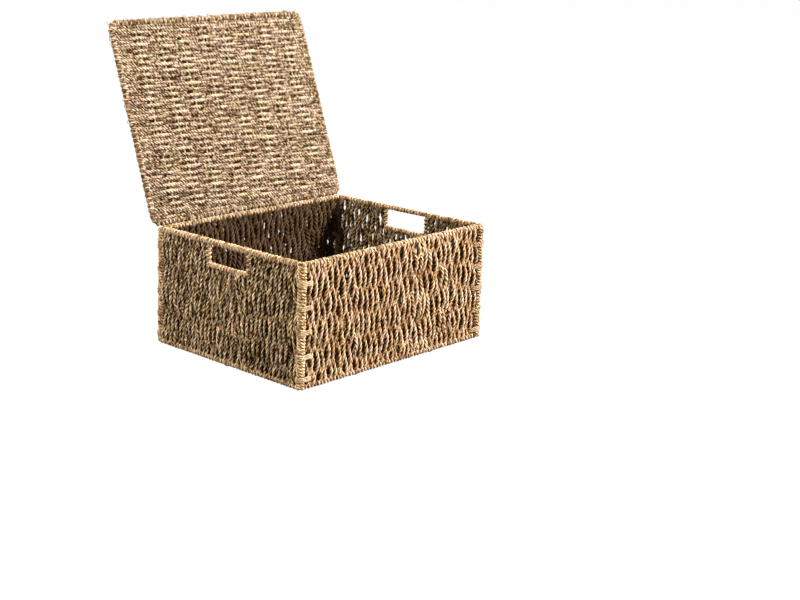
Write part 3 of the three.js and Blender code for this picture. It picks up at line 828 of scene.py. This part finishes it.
def wall_edges():
    """Wound rims and feet of the walls, meeting inside the corner posts."""
    for name, half, along in (("front", WALL_X, (1, 0, 0)), ("back", WALL_X, (1, 0, 0)),
                              ("left", WALL_Y, (0, 1, 0)), ("right", WALL_Y, (0, 1, 0))):
        _, place = WALL_PLACES[name]
        reach = half * np.array(along)
        for part, height in (("rim", TOP_RAIL), ("foot", BOTTOM_RAIL)):
            middle = np.array(place) + height * UP
            winding(f"{name}_{part}_winding", straight(middle - reach, middle + reach), UP, RIM_STRAND,
                    RIM_RADIUS + RIM_SWELL, RIM_PITCH, RIM_CORD, "box", [f"{name}_{part}_wrap"])


def posts():
    """Wound corner posts: the near one is paler, the others have the tone of the rims."""
    for name, sx, sy in CORNERS:
        foot = (sx * WALL_X, sy * WALL_Y, FOOT_LIFT + POST_STRAND / 2)
        core = straight(foot, (sx * WALL_X, sy * WALL_Y, TOP_RAIL))
        finish = EDGE_WRAP if name == NEAR_CORNER else RIM_CORD
        winding(f"{name}_post_winding", core, ACROSS, POST_STRAND, POST_RADIUS + POST_SWELL, POST_PITCH,
                finish, "box", [f"{name}_post_wrap"], hand=-1)


def lid_edge():
    """Wound rim all round the lid."""
    flat = rounded_rectangle(LID_HALF_X, LID_SPAN / 2, LID_CORNER, LID_EDGE_POINTS)
    core = opened(np.column_stack([flat[:, 0], flat[:, 1] - LID_SPAN / 2, np.zeros(len(flat))]))
    winding("lid_rim_winding", core, swung(UP), LID_RIM_STRAND, LID_RADIUS + LID_RIM_SWELL, LID_RIM_PITCH,
            LID_RIM_CORD, "lid", ["lid_rim_wrap"])


def handle_bindings():
    """Wound sides and sill of the hand holes."""
    top = TOP_RAIL - RIM_RADIUS
    bend = np.linspace(0, np.pi / 2, HANDLE_BEND_POINTS)
    left_bend = np.stack([-HANDLE_SIDE + HANDLE_CORNER * (1 - np.cos(bend)),
                          TOP_STAKE + HANDLE_CORNER * (1 - np.sin(bend))], -1)
    right_bend = left_bend[::-1] * np.array([-1, 1])
    line = np.concatenate([[[-HANDLE_SIDE, top]], left_bend, right_bend, [[HANDLE_SIDE, top]]])
    for name, sx in (("left", -1), ("right", 1)):
        core = np.column_stack([np.full(len(line), sx * WALL_X), line[:, 0], line[:, 1]])
        winding(f"{name}_handle_winding", core, ACROSS, RIM_STRAND, RIM_RADIUS, RIM_PITCH, RIM_CORD, "box",
                [f"{name}_handle_binding"])


def lashings():
    """Twine that ties the edge wire of a long wall to each corner post."""
    centre, outward = wound_belt(POST_RADIUS, LASHED_EDGE_RADIUS, POST_TO_EDGE, LASHING_TWINE, LASHING_TURNS)
    for name, sx, sy in CORNERS:
        angle = math.pi if sx > 0 else 0
        places = [(sx * WALL_X, sy * WALL_Y, height) for height in LASHING_HEIGHTS]
        lines = np.stack([turned(centre, angle, place) for place in places])
        out = np.broadcast_to(turned(outward, angle), lines.shape)
        finish = TWINE if name == NEAR_CORNER else RIM_CORD
        nodes = [f"{name}_lashing_{k + 1}" for k in range(len(places))]
        twine_turns(f"{name}_lashings", lines, out, LASHING_TWINE, LASHING_LAY, FINE_SIDES, finish, nodes)


def hinge_loops():
    """Loops of twine round the back rim and the lid's rear rail."""
    rise = HINGE[2] - TOP_RAIL
    back = HINGE[1] - WALL_Y
    reach = math.hypot(rise, back)
    play = np.linalg.norm(RAIL_FROM_HINGE)
    centre, outward = wound_belt(RIM_RADIUS, LID_RADIUS + play, reach, LOOP_TWINE, LOOP_TURNS)
    axes = [(0, back / reach, rise / reach), (0, -rise / reach, back / reach), (1, 0, 0)]
    places = [np.array([step * LID_STAKE_PITCH, WALL_Y, TOP_RAIL]) for step in LOOP_STAKES]
    lines = np.stack([tilted(centre, axes) + place for place in places])
    out = np.broadcast_to(tilted(outward, axes), lines.shape)
    nodes = [f"hinge_loop_{k + 1}" for k in range(len(places))]
    twine_turns("hinge_loops", lines, out, LOOP_TWINE, LOOP_LAY, FINE_SIDES, LID_RIM_CORD, nodes)


def base_ties():
    """Ties between the feet of the walls and the wire round the base."""
    centre, outward = wound_belt(RIM_RADIUS, RAIL_RADIUS, BASE_INSET, TIE_TWINE, TIE_TURNS)
    upright = [(1, 0, 0), (0, 0, 1), (0, -1, 0)]
    place = TIE_STAKES * BASE_STAKE_PITCH
    ties = (("front_left", -place, -WALL_Y, math.pi / 2), ("front_right", place, -WALL_Y, math.pi / 2),
            ("back_left", -place, WALL_Y, -math.pi / 2), ("back_right", place, WALL_Y, -math.pi / 2),
            ("left", -WALL_X, 0, 0), ("right", WALL_X, 0, math.pi))
    lines = np.stack([turned(tilted(centre, upright), turn, (x, y, BOTTOM_RAIL)) for _, x, y, turn in ties])
    out = np.stack([turned(tilted(outward, upright), turn) for *_, turn in ties])
    nodes = [f"base_tie_{name}" for name, *_ in ties]
    twine_turns("base_ties", lines, out, TIE_TWINE, TIE_LAY, TIE_SIDES, RIM_CORD, nodes)


def stray_fibres(name, roots, along, outward, finish, body):
    """Loose ends of grass, thin three-sided hairs: root + length s along + lift s^2 outward, where s runs
    from 0 to 1."""
    count = len(roots)
    share = np.linspace(0, 1, FIBRE_POINTS)[:, None]
    length = random.uniform(*FIBRE_LENGTH, (count, 1, 1))
    lift = random.uniform(*FIBRE_LIFT, (count, 1, 1))
    outward = np.broadcast_to(outward, roots.shape)[:, None]
    centre = roots[:, None] + length * share * unit(along)[:, None] + lift * share ** 2 * outward
    out = np.broadcast_to(outward, centre.shape)
    rings = twisted_cords(centre, out, FIBRE_DIAMETER, FIBRE_LAY, FIBRE_SIDES)
    tube_mesh(name, rings, np.zeros(rings.shape[:3]), finish, body)


def either_way(count):
    """1 or -1 for each fibre, as a column."""
    return random.choice([-1, 1], count)[:, None]


def wall_fibres():
    """Fibres on the outer faces of the walls, lying mostly upright."""
    lowest = BOTTOM_RAIL + WALL_FIBRE_FOOT_GAP
    highest = TOP_STAKE - WALL_FIBRE_TOP_GAP
    for name, half in (("front", LONG_MAT_HALF), ("back", LONG_MAT_HALF), ("left", SIDE_MAT_HALF),
                       ("right", SIDE_MAT_HALF)):
        angle, place = WALL_PLACES[name]
        across = random.uniform(-half, half, WALL_FIBRES)
        height = random.uniform(lowest, highest, WALL_FIBRES)
        roots = np.column_stack([across, np.full(WALL_FIBRES, -WALL_FIBRE_OUT), height])
        lean = random.normal(0, FIBRE_SPREAD, (WALL_FIBRES, 3)) * ACROSS
        along = lean + either_way(WALL_FIBRES) * UP
        stray_fibres(f"{name}_fibres", turned(roots, angle, place), turned(along, angle),
                     turned(FORWARD, angle), WALL_CORD, "box")


def lid_fibres():
    """Fibres on both faces of the lid, away from its edges, lying mostly along the cords."""
    for name, side in (("inner", -1), ("outer", 1)):
        across = random.uniform(-LID_HALF_X + LID_FIBRE_MARGIN, LID_HALF_X - LID_FIBRE_MARGIN, LID_FIBRES)
        back = random.uniform(-LID_SPAN + LID_FIBRE_MARGIN, -LID_FIBRE_MARGIN, LID_FIBRES)
        roots = np.column_stack([across, back, np.full(LID_FIBRES, side * LID_FIBRE_OUT)])
        lean = random.normal(0, FIBRE_SPREAD, (LID_FIBRES, 3)) * (0, 1, 0)
        along = lean + either_way(LID_FIBRES) * ACROSS
        stray_fibres(f"lid_{name}_fibres", opened(roots), swung(along), swung(side * UP), LID_CORD, "lid")


def lid_edge_fibres():
    """Fibres round the free edges of the lid."""
    line = rounded_rectangle(LID_HALF_X, LID_SPAN / 2, LID_CORNER, EDGE_FIBRE_PLACES)
    free = line[line[:, 1] < LID_SPAN / 2 - FREE_EDGE_GAP]
    chosen = free[random.integers(0, len(free), EDGE_FIBRES)]
    at_side = np.abs(chosen[:, :1]) > LID_HALF_X - SIDE_EDGE_REACH
    outward = np.where(at_side, np.sign(chosen[:, :1]) * ACROSS, FORWARD)
    roots = np.column_stack([chosen[:, 0], chosen[:, 1] - LID_SPAN / 2, np.zeros(EDGE_FIBRES)])
    roots = roots + outward * LID_RADIUS * EDGE_FIBRE_ROOT
    along = np.cross(outward, UP) * either_way(EDGE_FIBRES)
    along = along + EDGE_FIBRE_RISE * UP * random.uniform(0, 1, (EDGE_FIBRES, 1))
    stray_fibres("lid_edge_fibres", opened(roots), swung(along), swung(outward), LID_RIM_CORD, "lid")


def frames():
    """Finish of the wires that show between the cords: the box's frames are painted nearly black, a painted
    shade for the gaps they lie in, and the lid's frame keeps its straw coat.
    """
    for name in ("front", "back", "left", "right", "base", "lid"):
        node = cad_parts[f"{name}_frame"]
        node.data.materials.clear()
        node.data.materials.append(STRAW_WIRE if name == "lid" else WIRE_IN_PAINTED_SHADE)


# Studio

def camera():
    """Camera on the line of sight of the photograph, shifted to the place of the open box."""
    az, el = math.radians(CAMERA_AZIMUTH), math.radians(CAMERA_ELEVATION)
    back = Vector((math.sin(az) * math.cos(el), -math.cos(az) * math.cos(el), math.sin(el)))
    level = (-back).cross(Vector(UP)).normalized()
    rise = level.cross(-back)
    roll = math.radians(CAMERA_ROLL)
    right = level * math.cos(roll) + rise * math.sin(roll)
    up = rise * math.cos(roll) - level * math.sin(roll)
    width, height = IMAGE_SIZE
    data = bpy.data.cameras.new("camera")
    data.sensor_width = SENSOR
    data.lens = FOCAL_PIXELS * SENSOR / width
    data.shift_x = (width / 2 - PRINCIPAL_POINT[0]) / width
    data.shift_y = (PRINCIPAL_POINT[1] - height / 2) / width
    data.clip_end = CLIP_END
    eye = bpy.data.objects.new("camera", data)
    place = back * CAMERA_DISTANCE - right * CAMERA_SLIDE[0] - up * CAMERA_SLIDE[1]
    turn = Matrix((right, up, back)).transposed().to_4x4()
    eye.matrix_world = Matrix.Translation(place) @ turn
    bpy.context.scene.collection.objects.link(eye)
    bpy.context.scene.camera = eye


def background_rays(tree):
    """1 for the rays that show the background: the camera's own, mirrored ones and those let through."""
    path = tree.nodes.new("ShaderNodeLightPath").outputs
    direct = math_node(tree, "ADD", path["Is Camera Ray"], path["Is Glossy Ray"])
    rays = math_node(tree, "ADD", direct, path["Is Transmission Ray"])
    rays.node.use_clamp = True
    return rays


def shared_surface(tree, out, share, first, second):
    """Sends a mix of two shaders to the output, the second one by the given share."""
    mix = tree.nodes.new("ShaderNodeMixShader")
    tree.links.new(share, mix.inputs["Fac"])
    tree.links.new(first.outputs[0], mix.inputs[1])
    tree.links.new(second.outputs[0], mix.inputs[2])
    tree.links.new(mix.outputs[0], out.inputs["Surface"])


def floor():
    """White floor that the camera sees nearly shadowless, as a bright studio sheet."""
    mesh = bpy.data.meshes.new("floor")
    corners = [(-FLOOR_HALF, -FLOOR_HALF, 0), (FLOOR_HALF, -FLOOR_HALF, 0), (FLOOR_HALF, FLOOR_HALF, 0),
               (-FLOOR_HALF, FLOOR_HALF, 0)]
    mesh.from_pydata(corners, [], [(0, 1, 2, 3)])
    sheet = bpy.data.objects.new("floor", mesh)
    bpy.context.scene.collection.objects.link(sheet)
    finish = bpy.data.materials.new("white_floor")
    finish.use_nodes = True
    tree = finish.node_tree
    tree.nodes.clear()
    out = tree.nodes.new("ShaderNodeOutputMaterial")
    diffuse = tree.nodes.new("ShaderNodeBsdfDiffuse")
    diffuse.inputs["Color"].default_value = FLOOR_GREY
    glow = tree.nodes.new("ShaderNodeEmission")
    glow.inputs["Color"].default_value = WHITE
    glow.inputs["Strength"].default_value = FLOOR_GLOW
    share = math_node(tree, "MULTIPLY", background_rays(tree), FLOOR_GLOW_SHARE)
    shared_surface(tree, out, share, diffuse, glow)
    mesh.materials.append(finish)


def lights():
    """Soft key from the right front, a weaker fill from the left and a weaker light from behind."""
    for name, place, target, size, power, colour in LIGHTS:
        data = bpy.data.lights.new(name, "AREA")
        data.shape = "SQUARE"
        data.size = size
        data.energy = power
        data.color = colour
        lamp = bpy.data.objects.new(name, data)
        lamp.location = place
        lamp.rotation_euler = (Vector(target) - Vector(place)).to_track_quat("-Z", "Y").to_euler()
        bpy.context.scene.collection.objects.link(lamp)


def surroundings():
    """White background that lights the box only weakly."""
    world = bpy.data.worlds.new("studio")
    bpy.context.scene.world = world
    world.use_nodes = True
    tree = world.node_tree
    tree.nodes.clear()
    out = tree.nodes.new("ShaderNodeOutputWorld")
    seen = tree.nodes.new("ShaderNodeBackground")
    seen.inputs["Color"].default_value = WHITE
    around = tree.nodes.new("ShaderNodeBackground")
    around.inputs["Color"].default_value = WHITE
    around.inputs["Strength"].default_value = SURROUNDINGS
    shared_surface(tree, out, background_rays(tree), around, seen)
    bpy.context.scene.view_settings.view_transform = "Standard"


walls()
lid_cords()
base_cords()
wall_edges()
posts()
lid_edge()
handle_bindings()
lashings()
hinge_loops()
base_ties()
wall_fibres()
lid_fibres()
lid_edge_fibres()
frames()
camera()
floor()
lights()
surroundings()
